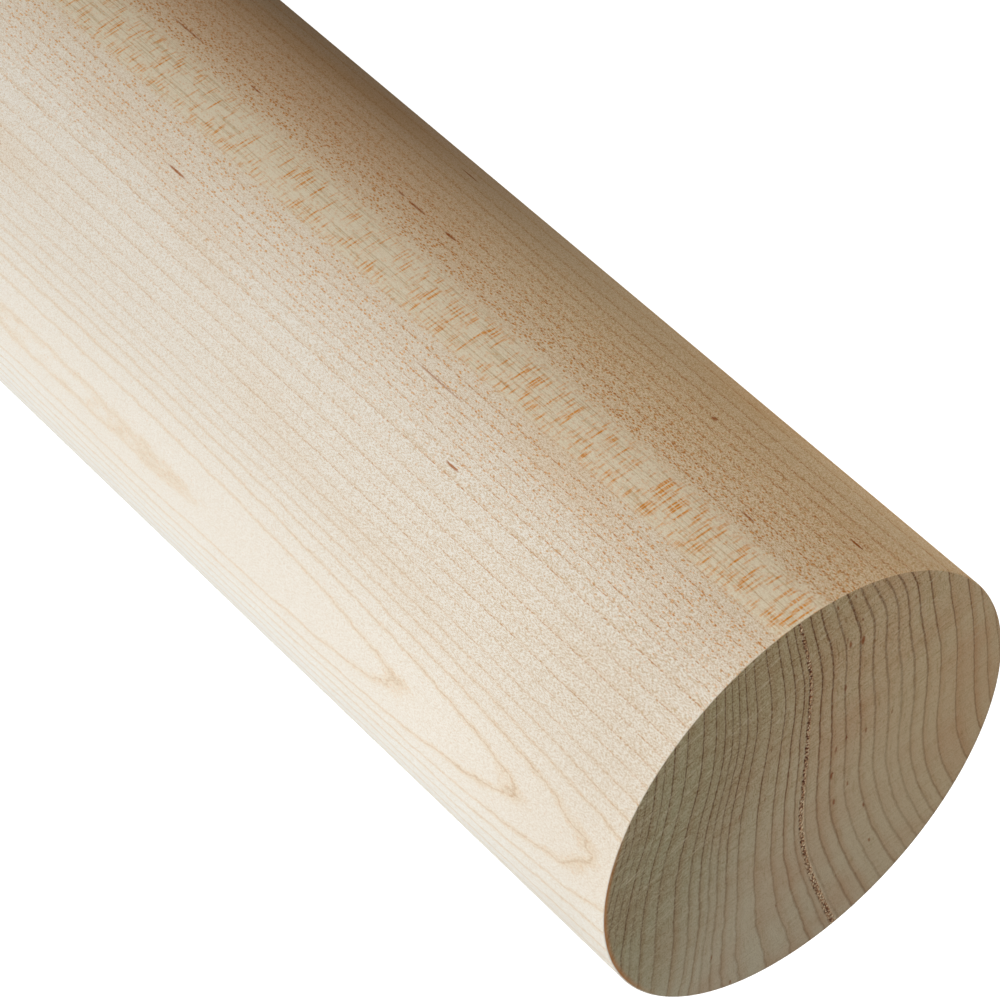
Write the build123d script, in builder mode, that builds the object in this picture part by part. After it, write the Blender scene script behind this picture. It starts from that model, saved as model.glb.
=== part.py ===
"""Three-inch hard maple dowel rod, one foot long: one turned piece of wood, sawn off square at both ends.

The rod stands on its lower end. The origin is the centre of that end, and +Z runs up the axis.
"""

import os

from build123d import *

# Driving dimensions, in millimetres
INCH = 25.4
ROD_DIAMETER = 3 * INCH
ROD_LENGTH = 12 * INCH
END_ARRIS = 0.4  # radius that a stroke of abrasive paper leaves on the sawn edge, on both ends

LOWER_END = Plane.XY

with BuildPart() as dowel_rod:
    # The round stock, cut to length.
    with BuildSketch(LOWER_END) as section:
        Circle(ROD_DIAMETER / 2)
    extrude(amount=ROD_LENGTH)

    # The edge round each sawn end, just broken so that it doesn't splinter.
    end_edges = dowel_rod.edges().filter_by(GeomType.CIRCLE)
    fillet(end_edges, radius=END_ARRIS)

dowel_rod.part.label = "dowel_rod"

os.makedirs("parts", exist_ok=True)
export_step(dowel_rod.part, "parts/dowel_rod.step")
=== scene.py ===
"""The looks of a three-inch hard maple dowel rod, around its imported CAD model.

The wood is one solid pattern. Growth rings, rays and pith flecks are written once as formulas of place, in
millimetres, and the rod's side and its sawn ends both cut through them. The same ring formula carves the
relief of the mesh and colours the materials.
"""

from math import atan2, cos, pi, radians, sin

import bmesh
import bpy
import numpy as np
from mathutils import Matrix, Vector, noise


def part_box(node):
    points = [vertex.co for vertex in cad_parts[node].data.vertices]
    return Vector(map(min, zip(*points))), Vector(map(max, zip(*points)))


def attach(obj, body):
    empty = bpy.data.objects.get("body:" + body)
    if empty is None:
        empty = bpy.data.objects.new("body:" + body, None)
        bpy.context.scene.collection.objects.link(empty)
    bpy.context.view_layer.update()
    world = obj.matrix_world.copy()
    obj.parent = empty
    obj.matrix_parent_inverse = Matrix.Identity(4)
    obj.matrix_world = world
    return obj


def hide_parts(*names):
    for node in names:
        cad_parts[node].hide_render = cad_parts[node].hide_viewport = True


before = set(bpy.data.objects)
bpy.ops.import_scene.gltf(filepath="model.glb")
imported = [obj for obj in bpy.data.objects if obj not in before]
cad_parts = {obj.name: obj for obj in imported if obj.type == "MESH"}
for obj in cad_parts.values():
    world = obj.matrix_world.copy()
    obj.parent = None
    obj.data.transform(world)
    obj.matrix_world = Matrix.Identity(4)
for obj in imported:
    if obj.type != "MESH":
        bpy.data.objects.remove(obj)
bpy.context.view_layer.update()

# The rod, from the frame, in metres. It stands on its lower end, and its axis is the Z axis.
MM = 0.001
LOW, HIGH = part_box("dowel_rod")
RADIUS = min(-LOW[0], HIGH[0], -LOW[1], HIGH[1])
TOP = HIGH[2]
BOTTOM = LOW[2]
TOP_MM = TOP / MM
ARRIS = 0.2 * MM

# The mesh: concentric rings of triangles on each end, rows of quads down the side and round each arris, and
# how often an edge is cut again where the end is rough
END_RINGS = 56
SIDE_ROWS = 40
ARRIS_STEPS = 4
FINE_CUTS = 4

# Growth rings: where the count of years starts, and how wide a year is on average. The rings run along Y,
# lean and fan out.
RING_START = -31.3
RING_WIDTH = 2.86
LEAN = 0.06
FAN = 0.005
# They bend five times, each bend with its shift, its slant, its place along Y and its width. The last two
# bends fade out across the rod: about which X, and how gently.
BENDS = ((2.0, 0.2, -18.5, 7.0), (20.3, -0.73, -42.8, 22.7), (6.4, 0.83, -4.2, 20.0))
SIDE_BENDS = ((6.5, -0.3, 0.8, 9.0, 24.6, 18.0), (6.3, -0.87, 32.8, 13.2, -23.0, -8.6))
# Wide and narrow years come by turns: the span of each wave of widths, its swing in rings, and its phase
CLIMATE = ((88.0, 1.62, 2.12), (31.0, 0.35, 0.07), (19.3, 0.23, 0.1), (15.8, 0.11, 2.2))

# Where the rings lie flat to the surface, they rise along the rod and show as pointed loops: the place of
# each such flat in X and Y, how far the rings rise, and how far below the top they are highest
FLATS = ((30.0, -23.5, 10.5, 130.0), (-29.6, 24.0, -4.5, 205.0))
FLAT_REACH = 11.0

# The rays are thin upright plates across the rings. They lie along the surface at this angle from the front
# (-Y) towards -X, where the wood is cut on the quarter.
QUARTER_ANGLE = radians(26)
BAND_HALF_WIDTH = 4.3

# The gum line, along one ring: its place, how far it sways from the ring, and its width and depth
GUM_RING = -21.9
GUM_SWAY = 0.2
GUM_WIDTH = 0.95
GUM_DEPTH = 0.3

# Short dark streaks on the side: the angle from the front towards -X in degrees, how far below the top, half
# the width and half the length in millimetres, and how dark each is
STREAKS = (
    (0.6, 57.0, 0.22, 1.5, 0.9),
    (12.5, 69.0, 0.16, 5.5, 0.6),
    (42.4, 91.0, 0.28, 1.4, 0.9),
    (42.4, 99.0, 0.26, 2.0, 0.8),
    (42.6, 102.9, 0.24, 0.8, 0.7),
    (36.7, 19.5, 0.2, 1.6, 0.9),
    (52.0, 7.5, 0.26, 1.5, 1.0),
    (53.5, 39.0, 0.5, 0.6, 0.8),
    (8.8, 130.0, 0.2, 2.2, 0.9),
    (68.0, 105.5, 0.26, 2.2, 0.9),
    (37.8, 135.0, 0.2, 1.6, 0.7),
    (38.1, 153.0, 0.2, 4.5, 0.7),
)

# Pith flecks on the upper end: their X and Y in millimetres, and their size
PITH_FLECKS = (
    (-20.7, -17.1, 1.2),
    (-19.0, -19.0, 1.0),
    (-19.2, -20.6, 0.6),
    (-22.7, -21.4, 0.6),
    (-24.3, -27.3, 0.7),
    (-21.4, -28.9, 0.8),
    (-14.1, -11.4, 0.9),
    (-3.6, 3.3, 1.0),
    (-11.8, 1.8, 0.7),
    (-9.1, -1.2, 0.8),
    (-6.8, -1.0, 0.8),
    (0.5, -6.9, 0.6),
    (-3.6, 17.1, 0.8),
    (-0.3, 26.2, 0.7),
    (-16.3, 4.1, 0.5),
    (-1.0, 9.4, 0.9),
    (-4.3, 8.7, 0.6),
    (27.8, 13.5, 0.7),
    (29.0, 23.3, 0.7),
    (16.0, 17.8, 0.5),
    (14.8, -14.0, 0.6),
    (5.2, -7.2, 0.6),
    (9.5, -9.3, 0.8),
    (21.4, -17.9, 0.6),
    (-0.6, -15.6, 0.5),
    (5.1, -24.8, 0.5),
)

# The setting: soft light from all round, how far the floor reaches in metres, and how bright it looks
AMBIENT = 0.02
FLOOR_REACH = 12.0
FLOOR_GLOW = 0.97

# The camera: its place from the middle of the upper end, in rod radii, how far it looks down, how far it is
# rolled, and its lens and sensor in millimetres
CAMERA_PLACE = Vector((-0.0358, -15.558, 7.998))
CAMERA_PITCH = radians(32.396)
CAMERA_ROLL = radians(131.816)
CAMERA_LENS = 166.6
CAMERA_SENSOR = 36


def paint(code):
    """A colour written as on screen, such as "D8C8A8", in the linear light that Blender works in."""
    levels = [int(code[i : i + 2], 16) / 255 for i in (0, 2, 4)]
    return [v / 12.92 if v <= 0.04045 else ((v + 0.055) / 1.055) ** 2.4 for v in levels] + [1.0]


WHITE = (1, 1, 1, 1)
FLOOR_GREY = paint("8C8C8A")

# The side: plain wood, whiter at the +X edge by a painted sheen, then the stains and painted shade on it
# A painted sheen: the white of the sapwood's +X edge
PAINTED_SHEEN_WHITE = paint("F9F8F2")
CREAM_SAPWOOD = paint("F6F0E5")
TAN_HEARTWOOD = paint("EDD4AE")
# Painted shade near the ends
NEAR_END_SHADE = paint("F1EEEA")
BROAD_STAIN = paint("F3DFC4")
# Painted shade on the -X flank far from the upper end
FAR_FLANK_SHADE = paint("F4EAE7")
PORE_STAIN = paint("CCA766")

# The side: ring lines, dashes, the quarter-cut band and streaks
LATE_WOOD = paint("EDD6B2")
LINE_EDGE = paint("F3DEBE")
DARK_LINE = paint("D89A52")
PALE_LINE = paint("DAC0A0")
YELLOW_DASH = paint("F1B24A")
TAN_DASH = paint("E6A84C")
BAND_CREAM = paint("F0E3C6")
UPRIGHT_LINE = paint("CDB88A")
ORANGE_FLECK = paint("F6B25A")
BROWN_STREAK = paint("BE7C48")

# The end: plain wood, then the stains and a painted shade on it
END_TAN = paint("D8C099")
END_GREY = paint("CEC3A9")
END_BLUSH = paint("F8EAE4")
# Painted shade across the end
END_FACE_SHADE = paint("D8DCD0")
END_LATE_WOOD = paint("DFBC9E")
END_LINE = paint("97704A")

# The end: saw marks, flecks, the gum line with painted shade in its pits, and the painted glow at the edge
DARK_RAY = paint("D6C7A8")
PALE_SCRATCH = paint("E0D4B6")
RING_STREAK = paint("D2BF9C")
OPEN_PORE = paint("BFA883")
PALE_GRIT = paint("DCCFAD")
PITH_BROWN = paint("B98059")
GUM_BROWN = paint("B69069")
GUM_CHIP = paint("EADBBB")
GUM_SHADE = paint("9C7059")
# The gum's own dark colour in its pits, with painted shade in the hollows
GUM_PIT_SHADE = paint("7E553F")
# A painted glow at the edge of the end
PAINTED_GLOW_ORANGE = paint("C47A3A")


# Arithmetic that works alike on arrays of numbers and on wires of a material's node tree


class Wire:
    """A value in a material's node tree. Arithmetic on it adds Math nodes."""

    def __init__(self, socket):
        self.socket = socket
        self.tree = socket.id_data

    def __add__(self, other):
        return math_node("ADD", self, other)

    def __radd__(self, other):
        return math_node("ADD", other, self)

    def __sub__(self, other):
        return math_node("SUBTRACT", self, other)

    def __rsub__(self, other):
        return math_node("SUBTRACT", other, self)

    def __mul__(self, other):
        return math_node("MULTIPLY", self, other)

    def __rmul__(self, other):
        return math_node("MULTIPLY", other, self)

    def __truediv__(self, other):
        return math_node("DIVIDE", self, other)

    def __rtruediv__(self, other):
        return math_node("DIVIDE", other, self)


def plug(value, socket):
    """Feeds an input from a wire, or sets it to a plain value."""
    if isinstance(value, Wire):
        value.tree.links.new(value.socket, socket)
    else:
        socket.default_value = value


def math_node(operation, *values):
    """Adds a Math node that takes these values, one of them a wire at least."""
    tree = next(v.tree for v in values if isinstance(v, Wire))
    node = tree.nodes.new("ShaderNodeMath")
    node.operation = operation
    for value, socket in zip(values, node.inputs):
        plug(value, socket)
    return Wire(node.outputs[0])


def tanh(t):
    return math_node("TANH", t) if isinstance(t, Wire) else np.tanh(t)


def sine(t):
    return math_node("SINE", t) if isinstance(t, Wire) else np.sin(t)


def magnitude(t):
    return math_node("ABSOLUTE", t) if isinstance(t, Wire) else np.abs(t)


def whole(t):
    return math_node("FLOOR", t) if isinstance(t, Wire) else np.floor(t)


def step(low, high, t):
    """0 below low, 1 above high, and a smooth slope between them. With low above high, it falls."""
    if not isinstance(t, Wire):
        share = np.clip((t - low) / (high - low), 0, 1)
        return share * share * (3 - 2 * share)
    if low > high:
        return 1.0 - step(high, low, t)
    node = t.tree.nodes.new("ShaderNodeMapRange")
    node.interpolation_type = "SMOOTHSTEP"
    plug(t, node.inputs["Value"])
    plug(low, node.inputs["From Min"])
    plug(high, node.inputs["From Max"])
    return Wire(node.outputs["Result"])


# The wood. Every X, Y, Z, place and depth here is in millimetres.


def below_top(z):
    """How far a point lies below the upper end."""
    return TOP_MM - z


def ring_place(x, y, z):
    """How far a point lies across the growth rings."""
    place = x - LEAN * y - FAN * x * y
    for shift, slant, middle, width in BENDS:
        place = place - shift * tanh((y + slant * x - middle) / width)
    for shift, slant, middle, width, fade_x, fade_width in SIDE_BENDS:
        share = 0.5 + 0.5 * tanh((x - fade_x) / fade_width)
        place = place - shift * share * tanh((y + slant * x - middle) / width)
    for flat_x, flat_y, rise, highest in FLATS:
        away_x = (x - flat_x) / FLAT_REACH
        away_y = (y - flat_y) / FLAT_REACH
        along = (below_top(z) - highest) / highest
        nearness = 1.0 / (1.0 + away_x * away_x + away_y * away_y)
        place = place + rise * nearness * (1.0 - along * along)
    return place


def ring_count(place):
    """The number of rings up to a place, which is whole at each ring line."""
    count = (place - RING_START) / RING_WIDTH
    for span, swing, phase in CLIMATE:
        count = count + swing * sine(place * (2 * pi / span) + phase)
    return count


def ring_spacing(place):
    """How far apart the ring lines are at a place, in millimetres."""
    growth = 1 / RING_WIDTH
    for span, swing, phase in CLIMATE:
        growth = growth + swing * (2 * pi / span) * sine(place * (2 * pi / span) + phase + pi / 2)
    return 1.0 / growth


def from_line(count):
    """How far the nearest ring line is, in rings."""
    return magnitude(count - whole(count + 0.5))


def gum_offset(place, y):
    """How far across the rings a point lies from the middle of the gum line."""
    return place - GUM_RING - GUM_SWAY * tanh((y - 1.0) / 7.0)


# The mesh


def disc(radius, rings):
    """The points and triangles of a disc, as rings of 6, 12, 18 ... points round a middle one."""
    points = [(0.0, 0.0)]
    for ring in range(1, rings + 1):
        for spoke in range(6 * ring):
            angle = 2 * pi * spoke / (6 * ring)
            reach = radius * ring / rings
            points.append((reach * cos(angle), reach * sin(angle)))

    def index(ring, spoke):
        return 1 + 3 * ring * (ring - 1) + spoke % (6 * ring) if ring else 0

    triangles = []
    for ring in range(1, rings + 1):
        for sector in range(6):
            for i in range(ring):
                outer = sector * ring + i
                inner = sector * (ring - 1) + i
                here = index(ring - 1, inner)
                onward = index(ring, outer + 1)
                triangles.append((index(ring, outer), onward, here))
                if i < ring - 1:
                    triangles.append((onward, index(ring - 1, inner + 1), here))
    return points, triangles


def rod_profile():
    """Radius and height of each row of points down the rod, from the top's flat edge to the bottom's."""
    turns = [pi / 2 * i / ARRIS_STEPS for i in range(ARRIS_STEPS + 1)]
    arris = [(RADIUS - ARRIS + ARRIS * sin(a), ARRIS - ARRIS * cos(a)) for a in turns]
    upper = [(r, TOP - drop) for r, drop in arris]
    lower = [(r, BOTTOM + drop) for r, drop in reversed(arris)]
    span = TOP - BOTTOM - 2 * ARRIS
    middle = [(RADIUS, TOP - ARRIS - span * i / SIDE_ROWS) for i in range(1, SIDE_ROWS)]
    return upper + middle + lower


def rough_mesh():
    """The rod's smooth skin: two discs joined by rows of quads, whose columns meet the discs' edges."""
    points, triangles = disc(RADIUS - ARRIS, END_RINGS)
    columns = 6 * END_RINGS
    edge = len(points) - columns
    bm = bmesh.new()
    top = [bm.verts.new((x, y, TOP)) for x, y in points]
    bottom = [bm.verts.new((x, y, BOTTOM)) for x, y in points]
    for a, b, c in triangles:
        bm.faces.new((top[a], top[b], top[c])).material_index = 1
        bm.faces.new((bottom[c], bottom[b], bottom[a])).material_index = 1
    rows = [top[edge:]]
    for radius, height in rod_profile()[1:-1]:
        angles = [2 * pi * i / columns for i in range(columns)]
        rows.append([bm.verts.new((radius * cos(a), radius * sin(a), height)) for a in angles])
    rows.append(bottom[edge:])
    for upper, lower in zip(rows, rows[1:]):
        for i in range(columns):
            j = (i + 1) % columns
            bm.faces.new((upper[i], lower[i], lower[j], upper[j]))
    return bm


def refine(bm):
    """Divides the ends again along the gum line, so that its crumbs are real shapes."""

    def near(edge):
        middle = (edge.verts[0].co + edge.verts[1].co) / (2 * MM)
        return abs(gum_offset(ring_place(*middle), middle.y)) < GUM_WIDTH

    ends = {edge for face in bm.faces if face.material_index == 1 for edge in face.edges}
    chosen = [edge for edge in bm.edges if edge in ends and near(edge)]
    bmesh.ops.subdivide_edges(bm, edges=chosen, cuts=FINE_CUTS, use_grid_fill=True)
    bmesh.ops.triangulate(bm, faces=[f for f in bm.faces if f.material_index == 1 and len(f.verts) > 3])


def crumble(point, across):
    """How deep the gum line is broken out at a point, from 0 to 1."""
    inside = 1 - float(step(0.2 * GUM_WIDTH, 0.5 * GUM_WIDTH, abs(across)))
    chips = noise.noise(Vector((point.x * 0.7, point.y * 0.7, 0.3)))
    grit = noise.noise(Vector((point.x * 3.4, point.y * 3.4, 7.7)))
    return inside * min(1.0, max(0.0, 0.12 + 0.5 * chips + 2.4 * grit))


def carve(bm):
    """Sinks the gum line into the ends, and keeps how broken each point is."""
    broken = bm.verts.layers.float.new("broken")
    for v in bm.verts:
        on_top = v.co.z > TOP - ARRIS / 2
        on_bottom = v.co.z < BOTTOM + ARRIS / 2
        reach = Vector((v.co.x, v.co.y)).length
        if not (on_top or on_bottom) or reach > RADIUS - ARRIS * 0.9:
            continue
        p = v.co / MM
        v[broken] = crumble(p, float(gum_offset(ring_place(*p), p.y)))
        sink = GUM_DEPTH * v[broken] * MM
        v.co.z += -sink if on_top else sink


def unwrap(mesh):
    """Lays the side out as a rectangle, seam at the back, and the two ends as discs beside it."""
    layer = mesh.uv_layers.new(name="OFBake")
    around = 2 * pi * RADIUS
    tall = TOP - BOTTOM
    margin = 2 * MM
    size = max(around + 2 * RADIUS + 3 * margin, tall + 2 * margin)
    for face in mesh.polygons:
        middle = atan2(face.center.x, -face.center.y)
        for loop in face.loop_indices:
            p = mesh.vertices[mesh.loops[loop].vertex_index].co
            if face.material_index == 1:
                right = 2 * margin + around + RADIUS + p.x
                up = margin + RADIUS + p.y if face.center.z > TOP / 2 else 2 * margin + 3 * RADIUS + p.y
            else:
                turn = (atan2(p.x, -p.y) - middle + pi) % (2 * pi) - pi
                fold = RADIUS - Vector((p.x, p.y)).length
                right = margin + (middle + turn + pi) * RADIUS
                up = margin + p.z + (fold if p.z > TOP / 2 else -fold)
            layer.data[loop].uv = (right / size, up / size)


def make_rod(materials):
    """The rod's skin, which stands for the plain CAD solid."""
    bm = rough_mesh()
    refine(bm)
    carve(bm)
    bm.normal_update()
    for face in bm.faces:
        face.smooth = True
    mesh = bpy.data.meshes.new("maple_rod")
    bm.to_mesh(mesh)
    bm.free()
    for material in materials:
        mesh.materials.append(material)
    unwrap(mesh)
    rod = bpy.data.objects.new("maple_rod", mesh)
    bpy.context.scene.collection.objects.link(rod)
    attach(rod, "root")
    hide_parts("dowel_rod")


# The materials. A step whose first bound is above its second falls: step(30.0, 8.0, x) is 0 from x = 30 mm
# up, and 1 from 8 mm down. The sapwood is towards +X, and the heartwood towards -X.


def new_material(name):
    """An empty material and its shader."""
    material = bpy.data.materials.new(name)
    material.use_nodes = True
    return material, material.node_tree.nodes["Principled BSDF"]


def place_in_wood(tree):
    """The point's X, Y and Z in millimetres."""
    where = tree.nodes.new("ShaderNodeTexCoord")
    scale = tree.nodes.new("ShaderNodeVectorMath")
    scale.operation = "SCALE"
    scale.inputs["Scale"].default_value = 1 / MM
    split = tree.nodes.new("ShaderNodeSeparateXYZ")
    tree.links.new(where.outputs["Object"], scale.inputs[0])
    tree.links.new(scale.outputs[0], split.inputs[0])
    return [Wire(out) for out in split.outputs]


def vector(x, y, z):
    """Three values, one of them a wire at least, as one vector."""
    tree = next(v.tree for v in (x, y, z) if isinstance(v, Wire))
    node = tree.nodes.new("ShaderNodeCombineXYZ")
    for value, socket in zip((x, y, z), node.inputs):
        plug(value, socket)
    return Wire(node.outputs[0])


def vector_node(operation, first, second=(0, 0, 0)):
    """Adds a Vector Math node on a wire."""
    node = first.tree.nodes.new("ShaderNodeVectorMath")
    node.operation = operation
    plug(first, node.inputs[0])
    plug(second, node.inputs[1])
    return Wire(node.outputs["Value" if operation == "LENGTH" else "Vector"])


def cloud(x, y, z, detail=0.0, roughness=0.5):
    """Smooth noise from about -1 to 1, one lump to a unit."""
    where = vector(x, y, z)
    node = where.tree.nodes.new("ShaderNodeTexNoise")
    plug(where, node.inputs["Vector"])
    node.inputs["Scale"].default_value = 1.0
    node.inputs["Detail"].default_value = detail
    node.inputs["Roughness"].default_value = roughness
    return Wire(node.outputs["Fac"]) * 2.0 - 1.0


def grains(x, y, z, metric="EUCLIDEAN"):
    """Scattered grains, one to a unit cube: the distance to the nearest, and its own number from 0 to 1."""
    where = vector(x, y, z)
    node = where.tree.nodes.new("ShaderNodeTexVoronoi")
    node.distance = metric
    plug(where, node.inputs["Vector"])
    node.inputs["Scale"].default_value = 1.0
    split = where.tree.nodes.new("ShaderNodeSeparateColor")
    where.tree.links.new(node.outputs["Color"], split.inputs[0])
    return Wire(node.outputs["Distance"]), Wire(split.outputs[0])


def chance(number):
    """A number from 0 to 1 that is the same wherever the given one is."""
    node = number.tree.nodes.new("ShaderNodeTexWhiteNoise")
    node.noise_dimensions = "1D"
    plug(number, node.inputs["W"])
    return Wire(node.outputs["Value"])


def kept(tree, name):
    """A value that the mesh holds at its points."""
    node = tree.nodes.new("ShaderNodeAttribute")
    node.attribute_name = name
    return Wire(node.outputs["Fac"])


def mixed(under, over, amount, blend="MIX"):
    """One colour over another."""
    tree = amount.tree
    node = tree.nodes.new("ShaderNodeMix")
    node.data_type = "RGBA"
    node.blend_type = blend
    plug(amount, node.inputs[0])
    plug(under, node.inputs[6])
    plug(over, node.inputs[7])
    return Wire(node.outputs[2])


def stained(colour, stain, amount):
    """A colour darkened by a stain, as if by a filter of that colour."""
    return mixed(colour, stain, amount, "MULTIPLY")


def bumped(height, distance, shader):
    """Turns a height in millimetres into the shader's normal."""
    node = height.tree.nodes.new("ShaderNodeBump")
    node.inputs["Distance"].default_value = distance
    plug(height, node.inputs["Height"])
    height.tree.links.new(node.outputs["Normal"], shader.inputs["Normal"])


def wander(x, y, z):
    """How far the rings stray from their even course: slowly along the rod, quickly across it. The last
    years, towards +X, stray the most."""
    slow = 0.12 * cloud(x / 7, y / 7, z / 24)
    quick = 0.21 * cloud(x / 3, y / 3, z / 5.5, 2, 0.65)
    return (slow + quick) * (1.0 + 2.2 * step(8.0, 30.0, x))


def rings(place):
    """How far the nearest ring line is, in millimetres. Then, from 0 to 1, how late in the year the wood
    grew, and the year's own number."""
    count = ring_count(place)
    return from_line(count) * ring_spacing(place), count - whole(count), chance(whole(count + 0.5))


def quarter_course(x, y):
    """Where a point lies along the rays and across them."""
    along = x * cos(QUARTER_ANGLE) - y * sin(QUARTER_ANGLE)
    across = x * sin(QUARTER_ANGLE) + y * cos(QUARTER_ANGLE)
    return along, across


def blot(point, centre, half_sizes):
    """A soft spot round a centre, from 0 to 1."""
    away = vector_node("DIVIDE", vector_node("SUBTRACT", point, centre), half_sizes)
    return step(1.25, 0.5, vector_node("LENGTH", away))


def plain_wood(x, z, fibre, tint):
    """Cream sapwood towards +X, whiter at the +X edge by a painted sheen, then tan, with painted shade that
    makes it greyer near the ends, fine pores and broad stains. Far from the upper end, the pores are
    faintest, and painted shade darkens the -X flank."""
    heart = x + 2.5 * tint
    half = 0.5 * TOP_MM
    near_end = step(half - 45.0, half, magnitude(z - half))
    far = step(60.0, 130.0, below_top(z)) * step(-18.0, -28.0, x)
    coarse = 1.0 - 0.35 * step(30.0, 110.0, below_top(z))
    pores = 0.35 + 0.31 * step(30.0, 8.0, x) + 0.2 * step(-16.0, -28.0, x)
    # Painted sheen: whiter towards the +X edge, cream inwards
    colour = mixed(PAINTED_SHEEN_WHITE, CREAM_SAPWOOD, step(37.5, 30.0, heart))
    colour = mixed(colour, TAN_HEARTWOOD, step(4.0, -34.0, heart))
    # Painted shade: greyer and darker within 45 mm of either end, away from the -X flank
    colour = stained(colour, NEAR_END_SHADE, near_end * step(-36.0, -10.0, x) * 0.7)
    colour = stained(colour, BROAD_STAIN, step(0.0, 0.7, tint) * step(24.0, 10.0, x) * 0.4)
    # Painted shade: the -X flank darker far from the upper end
    colour = stained(colour, FAR_FLANK_SHADE, far)
    return stained(colour, PORE_STAIN, step(-0.35, 0.55, fibre) * pores * coarse)


def with_ring_lines(colour, x, z, fibre, gap, late, year):
    """Thin tan lines, broken up by the pores, and a soft shade on the side that grew just before. In the
    sapwood the lines are fainter, with a soft edge. Away from the upper end they fade."""
    sapwood = step(6.0, 24.0, x)
    heartwood = step(-20.0, -32.0, x)
    shade = step(0.65, 1.0, late) * (0.1 + 0.22 * year) * (1.0 - 0.7 * sapwood)
    colour = stained(colour, LATE_WOOD, shade)
    colour = stained(colour, LINE_EDGE, step(0.5, 0.05, gap) * sapwood * 0.3)
    width = gap * (1.0 + 1.2 * sapwood - 0.3 * heartwood)
    fade = 1.0 - (0.4 + 0.25 * sapwood) * step(50.0, 110.0, below_top(z))
    line = step(0.2, 0.05, width) * fade * (0.6 + 0.4 * year) * step(-0.35, 0.25, fibre + 0.3 * sapwood)
    tan = mixed(DARK_LINE, PALE_LINE, sapwood)
    return stained(colour, tan, line * (0.66 + 0.1 * heartwood - 0.22 * sapwood))


def with_dashes(colour, x, y, z, gap, aside):
    """The ends of rays: short upright dashes, most of them beside the band and along the ring lines."""
    distance, own = grains(x / 0.4, y / 0.4, z / 0.78)
    zone = step(26.0, 5.0, aside)
    flank = step(-14.0, -24.0, x)
    amount = step(0.78, 1.12, own + 0.45 * zone + 0.35 * flank + 0.5 * step(0.5, 0.12, gap))
    dash = step(0.46, 0.2, distance) * amount * (0.18 + 0.58 * zone + 0.15 * flank)
    return stained(colour, mixed(YELLOW_DASH, TAN_DASH, flank), dash)


def with_band(colour, x, y, z):
    """The quarter-cut band: pale, with thin upright lines and ragged orange flecks, low and wide, in stacks.
    Farther down, the flecks are smaller."""
    along, across = quarter_course(x, y)
    aside = magnitude(along)
    below = below_top(z)
    ragged = cloud(along / 0.5, across / 0.5, z / 0.3)
    band = step(BAND_HALF_WIDTH + 1.0, BAND_HALF_WIDTH - 0.8, aside + 0.4 * ragged)
    colour = mixed(colour, BAND_CREAM, band * 0.55)
    upright = cloud(along / 0.17, across / 0.6, z / 6)
    colour = stained(colour, UPRIGHT_LINE, step(0.1, 0.5, upright) * band * 0.4)
    distance, own = grains(along / 5.2 + 0.1 * ragged, across / 0.34, z / 0.5, "CHEBYCHEV")
    stacks = cloud(along / 3, across / 3, z / 3.2)
    amount = step(-0.5, 1.0, own + 0.9 * stacks + 0.5 * step(5.0, 1.0, below))
    amount = amount * step(-0.9, 0.15, upright) * step(5.4, 2.6, aside)
    fleck = step(0.49, 0.17, distance + 0.08 * ragged + 0.04 * step(25.0, 90.0, below)) * amount
    return stained(colour, ORANGE_FLECK, fleck)


def with_streaks(colour, x, y, z, fibre):
    """Short dark streaks along the grain."""
    point = vector(x + 0.12 * fibre, y, z)
    for angle, below, half_width, half_length, dark in STREAKS:
        turn = radians(angle)
        centre = Vector((-sin(turn), -cos(turn), 0)) * RADIUS / MM + Vector((0, 0, TOP_MM - below))
        spot = blot(point, centre, (half_width, half_width, half_length))
        colour = stained(colour, BROWN_STREAK, spot * dark)
    return colour


def side_material():
    """The moulded and sanded side."""
    material, shader = new_material("maple_side")
    x, y, z = place_in_wood(material.node_tree)
    fibre = cloud(x / 0.1, y / 0.1, z / 0.34)
    tint = cloud(x / 12, y / 12, z / 40)
    gap, late, year = rings(ring_place(x, y, z) + wander(x, y, z))
    aside = magnitude(quarter_course(x, y)[0])

    colour = plain_wood(x, z, fibre, tint)
    colour = with_ring_lines(colour, x, z, fibre, gap, late, year)
    colour = with_dashes(colour, x, y, z, gap, aside)
    colour = with_band(colour, x, y, z)
    colour = with_streaks(colour, x, y, z, fibre)

    plug(colour, shader.inputs["Base Color"])
    plug(0.8 + 0.05 * fibre, shader.inputs["Roughness"])
    shader.inputs["Specular IOR Level"].default_value = 0.03
    bumped(0.012 * fibre, MM, shader)
    return material


def with_saw_marks(colour, x, y, place, grit):
    """Fine scratches and the rays that cross them, with streaks along the rings and the open pores, roughest
    towards the front."""
    along, across = quarter_course(x, y)
    ray = cloud(along / 4.0, across / 0.16, 0.5, 1)
    turn = radians(-8)
    scratch = cloud((x * cos(turn) + y * sin(turn)) / 4.0, (y * cos(turn) - x * sin(turn)) / 0.14, 0.5, 1)
    rough = 0.65 + 1.0 * step(18.0, -26.0, y)
    colour = stained(colour, DARK_RAY, step(0.0, 0.5, ray) * rough * 0.6)
    colour = mixed(colour, PALE_SCRATCH, step(0.1, 0.5, scratch) * rough * 0.45)
    streak = cloud(place / 0.4, y / 3.0, 0.5, 1)
    colour = stained(colour, RING_STREAK, step(0.05, 0.6, streak) * rough * 0.4)
    colour = stained(colour, OPEN_PORE, step(0.0, 0.5, grit) * rough * 0.5)
    return mixed(colour, PALE_GRIT, step(0.0, -0.5, grit) * rough * 0.25)


def with_pith_flecks(colour, place, y, grit):
    """Reddish brown flecks, drawn out along the rings."""
    point = vector(place + 0.12 * grit, y, 0.0)
    for fleck_x, fleck_y, size in PITH_FLECKS:
        centre = (float(ring_place(fleck_x, fleck_y, TOP_MM)), fleck_y, 0.0)
        spot = blot(point, centre, (0.25 * size, 0.75 * size, 1.0))
        colour = stained(colour, PITH_BROWN, spot * (0.5 + 0.4 * size))
    return colour


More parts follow.
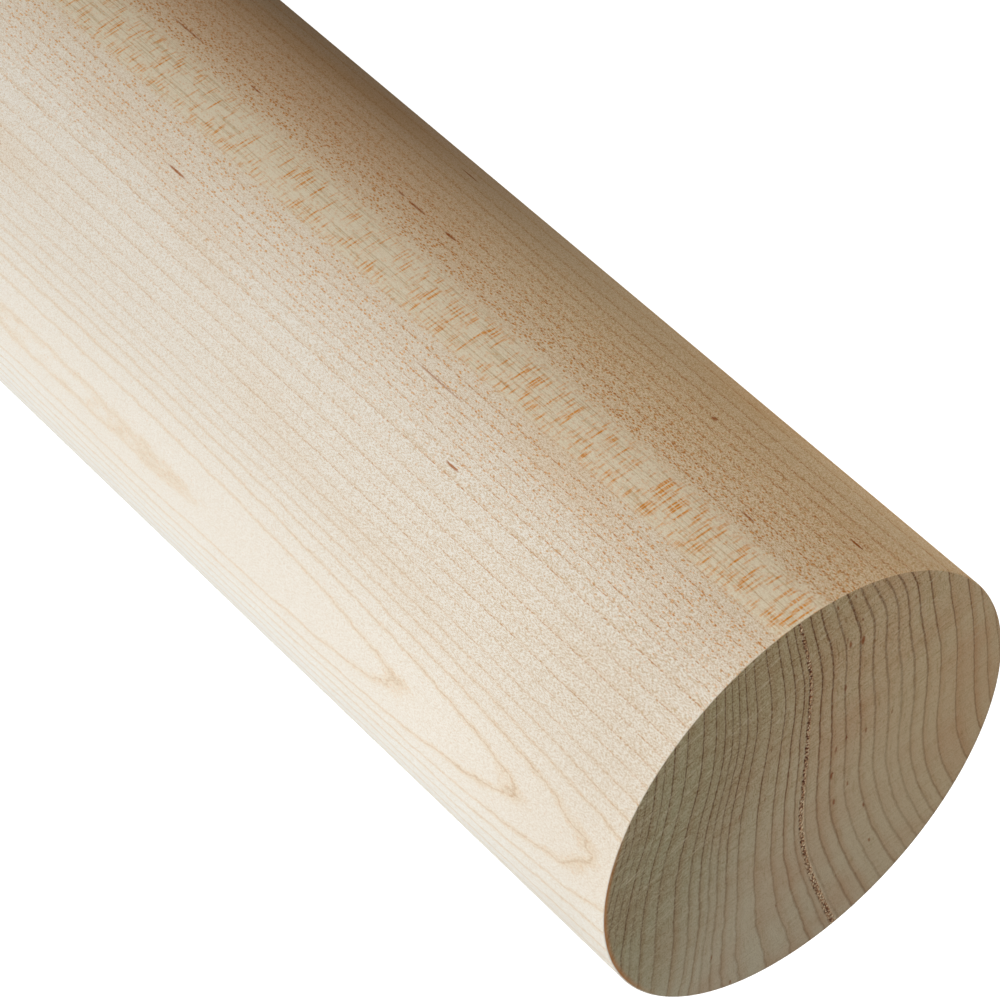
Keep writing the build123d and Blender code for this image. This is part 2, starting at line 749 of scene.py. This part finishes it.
def with_gum_line(colour, x, y, place, broken, grit):
    """The crumbled gum line: reddish, with pale chips, and dark pits that are partly the gum's own colour
    and partly painted shade in the hollows.
    """
    offset = gum_offset(place, y)
    strip = step(0.52, 0.24, magnitude(offset) + 0.2 * grit)
    chips = cloud((x + 0.6 * y) / 0.35, (y - 0.6 * x) / 0.14, 0.5)
    upper = step(2.0, 22.0, y)
    colour = mixed(colour, GUM_BROWN, strip * 0.8)
    colour = mixed(colour, GUM_CHIP, step(0.06, 0.3, chips) * strip * 0.65)
    colour = stained(colour, GUM_SHADE, step(0.0, -0.3, chips) * strip * 0.8)
    # Painted shade in the pits, darker where the gum line is broken deeper, over the gum's own dark colour
    return stained(colour, GUM_PIT_SHADE, step(0.15, 0.5, broken) * (1.0 - 0.35 * upper))


def with_painted_glow(colour, x, y):
    """A painted glow: the edge of the end is painted orange where light would come through the wood from the
    sapwood side.
    """
    reach = vector_node("LENGTH", vector(x, y, 0.0)) - RADIUS / MM
    facing = (x * 0.92 - y * 0.39) / (RADIUS / MM)
    rim = step(-1.2, -0.2, reach) * step(0.78, 0.97, facing)
    # Painted glow along the edge that faces +X
    return mixed(colour, PAINTED_GLOW_ORANGE, rim * 0.7)


def end_material():
    """The sawn end grain: olive brown, with thin dark ring lines, and painted shade towards +X and -Y."""
    material, shader = new_material("maple_end")
    x, y, z = place_in_wood(material.node_tree)
    tint = cloud(x / 11, y / 11, z / 40, 1)
    grit = cloud(x / 0.15, y / 0.15, 0.5)
    even = ring_place(x, y, z)
    gap, late, year = rings(even + wander(x, y, z))
    broken = kept(material.node_tree, "broken")

    rough = 0.7 + 1.0 * step(15.0, -22.0, y)
    colour = mixed(END_TAN, END_GREY, step(-30.0, 30.0, x))
    colour = stained(colour, END_BLUSH, step(-0.5, 0.6, tint))
    # Painted shade: darker and greyer towards +X and -Y
    colour = stained(colour, END_FACE_SHADE, step(-2.0, 27.0, 0.5 * x - 0.8 * y))
    colour = stained(colour, END_LATE_WOOD, step(0.4, 1.0, late) * (0.15 + 0.4 * year))
    width = gap * (1.0 - 0.45 * step(5.0, 26.0, x - 0.4 * y))
    line = step(0.26, 0.06, width) * (0.4 + 0.35 * year) * (1.0 - 0.3 * step(4.0, 22.0, x))
    colour = stained(colour, END_LINE, line * rough)
    colour = with_saw_marks(colour, x, y, even, grit)
    colour = with_pith_flecks(colour, even, y, grit)
    colour = with_gum_line(colour, x, y, even, broken, grit)
    colour = with_painted_glow(colour, x, y)

    plug(colour, shader.inputs["Base Color"])
    plug(0.75 + 0.08 * grit, shader.inputs["Roughness"])
    shader.inputs["Specular IOR Level"].default_value = 0.25
    bumped(0.02 * grit, MM, shader)
    return material


# The setting


def seen_rays(tree):
    """1 for what the camera sees, straight, in a reflection or through glass, and 0 for light on the rod."""
    path = tree.nodes.new("ShaderNodeLightPath")
    seen = math_node("MAXIMUM", Wire(path.outputs["Is Camera Ray"]), Wire(path.outputs["Is Glossy Ray"]))
    return math_node("MAXIMUM", seen, Wire(path.outputs["Is Transmission Ray"]))


def make_floor():
    """A pale floor that shows white to the camera and keeps the rod's shadow."""
    material, shader = new_material("pale_floor")
    shader.inputs["Base Color"].default_value = FLOOR_GREY
    shader.inputs["Roughness"].default_value = 0.9
    shader.inputs["Emission Color"].default_value = WHITE
    plug(seen_rays(material.node_tree) * FLOOR_GLOW, shader.inputs["Emission Strength"])
    mesh = bpy.data.meshes.new("floor")
    signs = ((-1, -1), (1, -1), (1, 1), (-1, 1))
    corners = [(right * FLOOR_REACH, back * FLOOR_REACH, BOTTOM) for right, back in signs]
    mesh.from_pydata(corners, [], [(0, 1, 2, 3)])
    mesh.materials.append(material)
    floor = bpy.data.objects.new("floor", mesh)
    bpy.context.scene.collection.objects.link(floor)


def make_world():
    """Soft white light from all round, and plain white to the camera."""
    world = bpy.data.worlds.new("studio")
    world.use_nodes = True
    background = world.node_tree.nodes["Background"]
    background.inputs["Color"].default_value = WHITE
    plug(AMBIENT + (1 - AMBIENT) * seen_rays(world.node_tree), background.inputs["Strength"])
    bpy.context.scene.world = world


def area_light(name, angle, rise, distance, size, level, aim=0.75):
    """A square lamp aimed at the rod, at a share of its height. Its angle is from the front (-Y) towards +X,
    and its rise is from level, both in degrees. Its distance and size are in metres, and its level is how
    bright it makes a white card that faces it at the rod."""
    target = Vector((0, 0, BOTTOM + aim * (TOP - BOTTOM)))
    turn = radians(angle)
    up = radians(rise)
    away = Vector((sin(turn) * cos(up), -cos(turn) * cos(up), sin(up)))
    data = bpy.data.lights.new(name, "AREA")
    data.size = size
    data.energy = level * pi * pi * distance * distance
    lamp = bpy.data.objects.new(name, data)
    lamp.location = target + away * distance
    lamp.rotation_euler = away.to_track_quat("Z", "Y").to_euler()
    lamp.visible_camera = False
    bpy.context.scene.collection.objects.link(lamp)


def make_lights():
    """A key lamp on the sapwood side, one above the front, a small card by the dark flank near the upper
    end, and a lamp behind that lights only the half that the camera doesn't see."""
    area_light("key", 114, -2, 1.2, 0.4, 0.74, aim=0.4)
    area_light("front", 18, 29, 1.3, 0.5, 0.9)
    area_light("card", -102, 0, 0.14, 0.06, 0.35, aim=0.95)
    area_light("back", 180, 0, 1.2, 0.2, 0.6, aim=0.5)


def make_camera():
    """A long lens that looks down on the upper end from the front and is rolled, so that the rod lies across
    the picture with its upper end towards the lower right."""
    place = Vector((0, 0, TOP)) + CAMERA_PLACE * RADIUS
    data = bpy.data.cameras.new("camera")
    data.sensor_width = CAMERA_SENSOR
    data.lens = CAMERA_LENS
    data.clip_start = 0.01
    camera = bpy.data.objects.new("camera", data)
    tilt = Matrix.Rotation(pi / 2 - CAMERA_PITCH, 4, "X")
    roll = Matrix.Rotation(CAMERA_ROLL, 4, "Z")
    camera.matrix_world = Matrix.Translation(place) @ tilt @ roll
    bpy.context.scene.collection.objects.link(camera)
    bpy.context.scene.camera = camera


make_rod([side_material(), end_material()])
make_floor()
make_world()
make_lights()
make_camera()
bpy.context.scene.view_settings.view_transform = "Standard"
